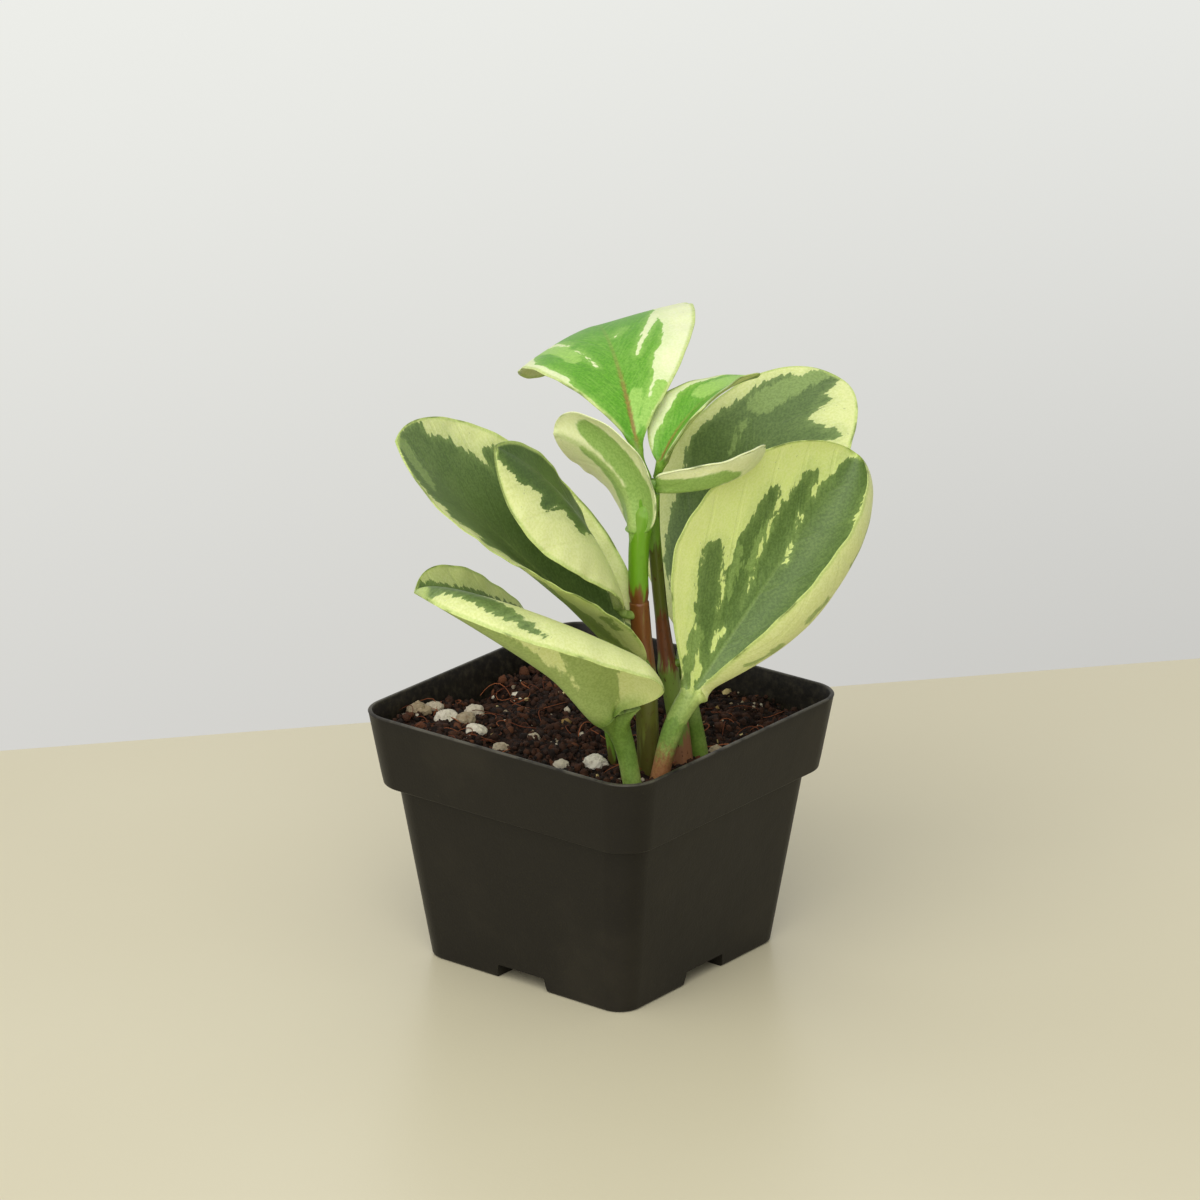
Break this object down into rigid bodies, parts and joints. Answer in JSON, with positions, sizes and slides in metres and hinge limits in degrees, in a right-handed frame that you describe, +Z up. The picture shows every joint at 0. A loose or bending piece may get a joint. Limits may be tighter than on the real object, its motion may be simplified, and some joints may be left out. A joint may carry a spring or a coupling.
{
  "type": "potted plant",
  "caption": "Small peperomia with thick spoon-shaped leaves, green with cream margins, in a square black nursery pot of soil.",
  "frame": {"origin": "under the middle of the bounding box, on the plane that the pot's four feet stand on", "axes": "+Z up, from the feet to the crown leaf; X and Y run along the pot's sides"},
  "size_m": [0.127, 0.1558, 0.1835],
  "materials": {
    "pot": "satin",
    "soil": "matte",
    "stem": "satin",
    "young_leaf": "satin",
    "crown_leaf": "satin",
    "leaf": "satin"
  },
  "bodies": {
    "root": {"pot": "pot", "soil": "soil", "stem_front": "stem", "stem_back": "stem", "shoot": "stem", "young_leaves": "young_leaf", "leaf_crown": "crown_leaf", "leaf_crown_side": "crown_leaf", "leaf_back_right": "leaf", "leaf_front_right": "leaf", "leaf_left": "leaf", "leaf_upper_left": "leaf", "leaf_low_left": "leaf"}
  },
  "joints": []
}
